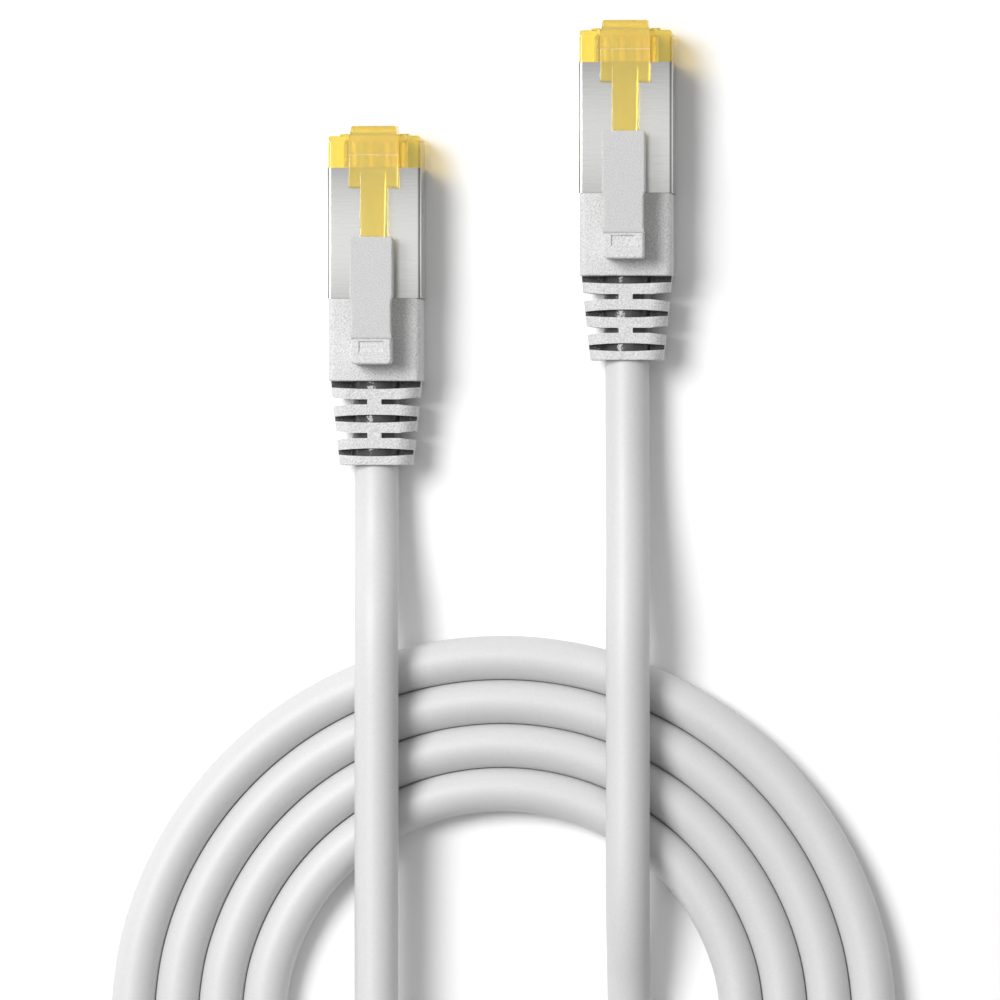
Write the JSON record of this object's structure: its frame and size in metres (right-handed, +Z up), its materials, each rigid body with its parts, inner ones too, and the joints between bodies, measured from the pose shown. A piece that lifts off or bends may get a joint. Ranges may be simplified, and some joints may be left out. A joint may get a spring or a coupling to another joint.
{
  "type": "ethernet patch cable",
  "caption": "Round shielded patch cable in a flat coil, with a latched modular plug in an overmoulded boot on each end.",
  "frame": {"origin": "on the table, at the middle of the box round the two plugs, which lie side by side with their latches up", "axes": "+X from plug A to plug B, +Y the way the plugs' noses point, +Z up, away from the table"},
  "size_m": [0.099, 0.1972, 0.0128],
  "materials": {
    "amber_polycarbonate": "translucent amber, moulded, glossy",
    "nickel_plated_shell": "folded sheet, fine brushed",
    "gold_plated_contacts": "polished",
    "clear_polycarbonate": "clear, moulded",
    "aluminium_foil": "bright foil",
    "crimp_steel": "plain, crimped",
    "tinned_braid": "fine woven wire",
    "dark_polyethylene": "dark grey, glossy, moulded",
    "boot_pvc": "light grey-white, fine spark-eroded texture",
    "cable_jacket": "light grey-white, smooth satin",
    "orange_insulation": "smooth",
    "green_insulation": "smooth",
    "blue_insulation": "smooth",
    "brown_insulation": "smooth"
  },
  "bodies": {
    "root": {"housing_a": "amber_polycarbonate", "shield_shell_a": "nickel_plated_shell", "contact_blades_a": "gold_plated_contacts", "wire_manager_a": "clear_polycarbonate", "pair_foils_a": "aluminium_foil", "jacket_end_a": "cable_jacket", "crimp_ferrule_a": "crimp_steel", "cable_braid_a": "tinned_braid", "inner_mould_a": "dark_polyethylene", "boot_a": "boot_pvc", "orange_conductors_a": "orange_insulation", "green_conductors_a": "green_insulation", "blue_conductors_a": "blue_insulation", "brown_conductors_a": "brown_insulation", "housing_b": "amber_polycarbonate", "shield_shell_b": "nickel_plated_shell", "contact_blades_b": "gold_plated_contacts", "wire_manager_b": "clear_polycarbonate", "pair_foils_b": "aluminium_foil", "jacket_end_b": "cable_jacket", "crimp_ferrule_b": "crimp_steel", "cable_braid_b": "tinned_braid", "inner_mould_b": "dark_polyethylene", "boot_b": "boot_pvc", "orange_conductors_b": "orange_insulation", "green_conductors_b": "green_insulation", "blue_conductors_b": "blue_insulation", "brown_conductors_b": "brown_insulation", "cable_leg_a": "cable_jacket", "cable_coil": "cable_jacket", "cable_leg_b": "cable_jacket"},
    "latch_a": {"latch_a": "amber_polycarbonate"},
    "lever_a": {"lever_a": "boot_pvc"},
    "latch_b": {"latch_b": "amber_polycarbonate"},
    "lever_b": {"lever_b": "boot_pvc"}
  },
  "joints": [
    {"name": "lever_a_hinge", "type": "hinge", "parent": "root", "child": "lever_a", "pos_m": [-0.01572, -0.01176, 0.0123], "axis": [-1, 0, 0], "range_deg": [0, 6.9], "stiffness_Nm_per_rad": 0.02},
    {"name": "latch_a_hinge", "type": "hinge", "parent": "root", "child": "latch_a", "pos_m": [-0.01572, 0.01404, 0.0066], "axis": [1, 0, 0], "range_deg": [0, 5.5], "stiffness_Nm_per_rad": 0.05},
    {"name": "lever_b_hinge", "type": "hinge", "parent": "root", "child": "lever_b", "pos_m": [0.01572, 0.00134, 0.0123], "axis": [-1, 0, 0], "range_deg": [0, 6.9], "stiffness_Nm_per_rad": 0.02},
    {"name": "latch_b_hinge", "type": "hinge", "parent": "root", "child": "latch_b", "pos_m": [0.01572, 0.02714, 0.0066], "axis": [1, 0, 0], "range_deg": [0, 5.5], "stiffness_Nm_per_rad": 0.05}
  ],
  "couplings": [
    {"joint": "latch_a_hinge", "follows": "lever_a_hinge", "ratio": 0.797},
    {"joint": "latch_b_hinge", "follows": "lever_b_hinge", "ratio": 0.797}
  ]
}
